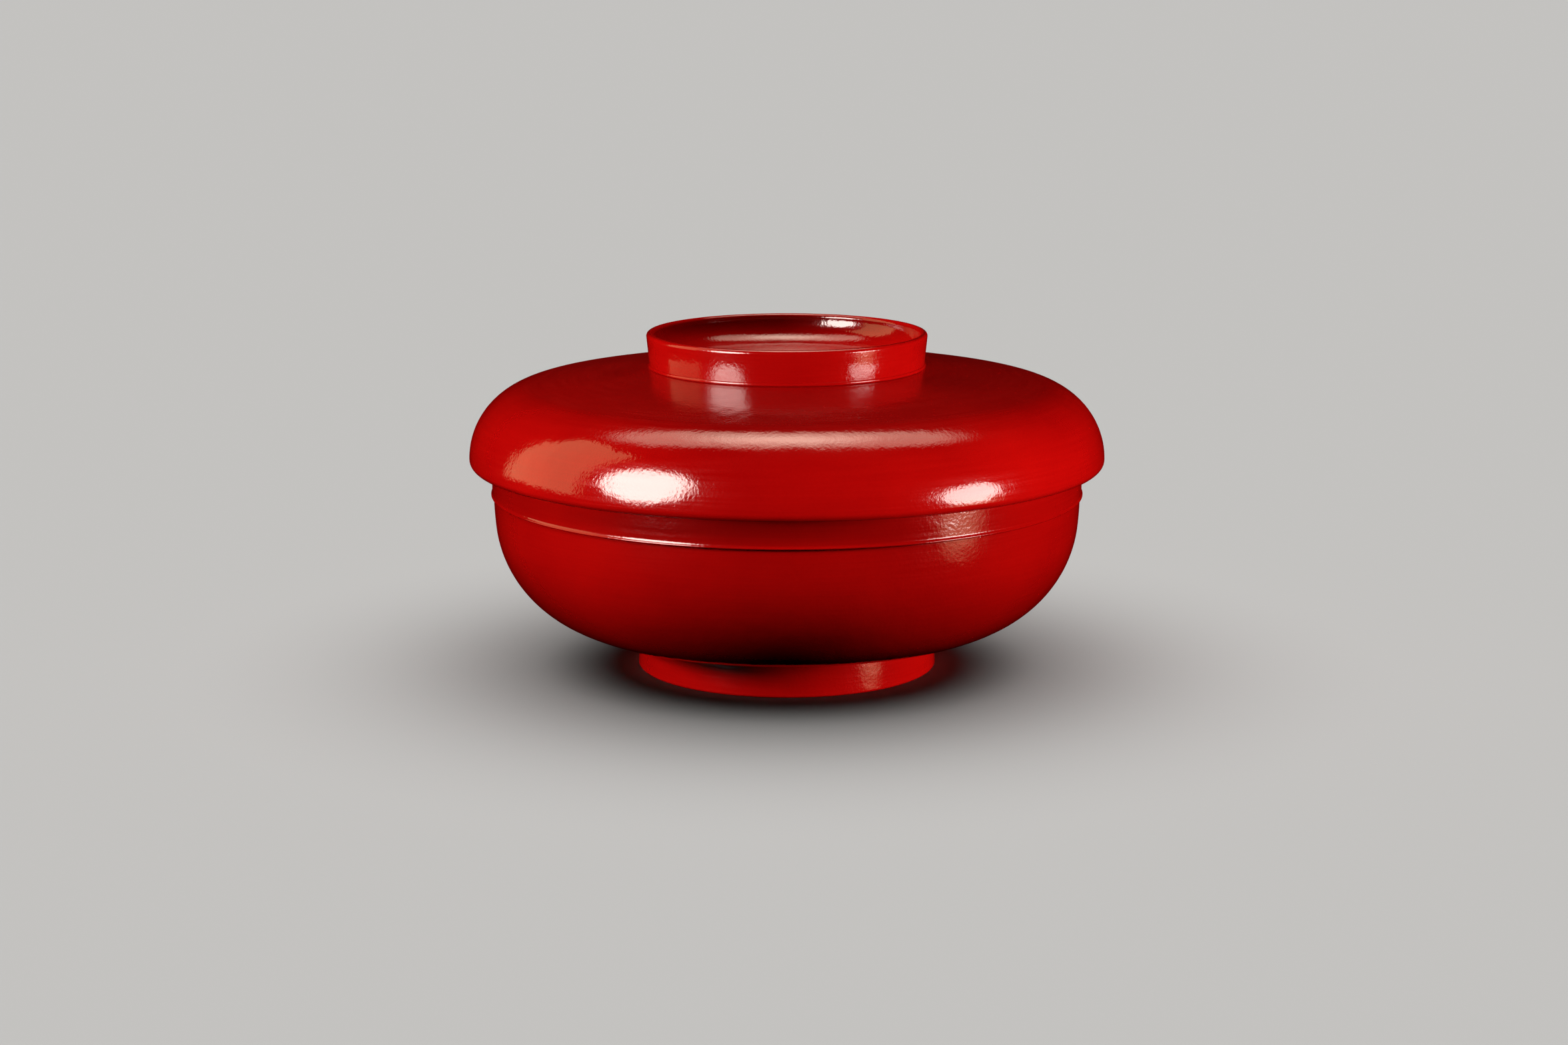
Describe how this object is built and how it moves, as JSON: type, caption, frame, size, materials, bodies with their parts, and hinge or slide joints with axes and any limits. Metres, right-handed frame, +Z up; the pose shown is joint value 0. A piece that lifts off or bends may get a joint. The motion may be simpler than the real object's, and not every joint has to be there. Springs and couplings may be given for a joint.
{
  "type": "lidded serving bowl",
  "caption": "Round lidded serving bowl in gloss vermilion lacquer over turned wood, with a foot ring, a bead below the rim and a domed lift-off lid with a dished ring grip.",
  "frame": {"origin": "on the table, under the centre of the foot ring", "axes": "+Z up along the turning axis; X and Y are free because the bowl is round"},
  "size_m": [0.241, 0.241, 0.1284],
  "materials": {
    "vermilion_lacquer": "glossy vermilion lacquer with faint orange peel",
    "turned_wood": "bare turned wood, hidden under the coats",
    "hemp_cloth": "plain woven hemp, hidden under the coats"
  },
  "bodies": {
    "bowl": {"bowl_core": "turned_wood", "bowl_rim_cloth": "hemp_cloth", "bowl_outer_coat": "vermilion_lacquer", "bowl_inner_coat": "vermilion_lacquer", "foot_ring": "turned_wood", "foot_coat": "vermilion_lacquer", "foot_recess_coat": "vermilion_lacquer"},
    "lid": {"lid_core": "turned_wood", "lid_rim_cloth": "hemp_cloth", "lid_outer_coat": "vermilion_lacquer", "lid_inner_coat": "vermilion_lacquer", "grip_ring": "turned_wood", "grip_coat": "vermilion_lacquer", "grip_well_coat": "vermilion_lacquer"}
  },
  "joints": [
    {"name": "lid_lift", "type": "slide", "parent": "bowl", "child": "lid", "axis": [0, 0, 1], "range_m": [0, 0.12]}
  ]
}
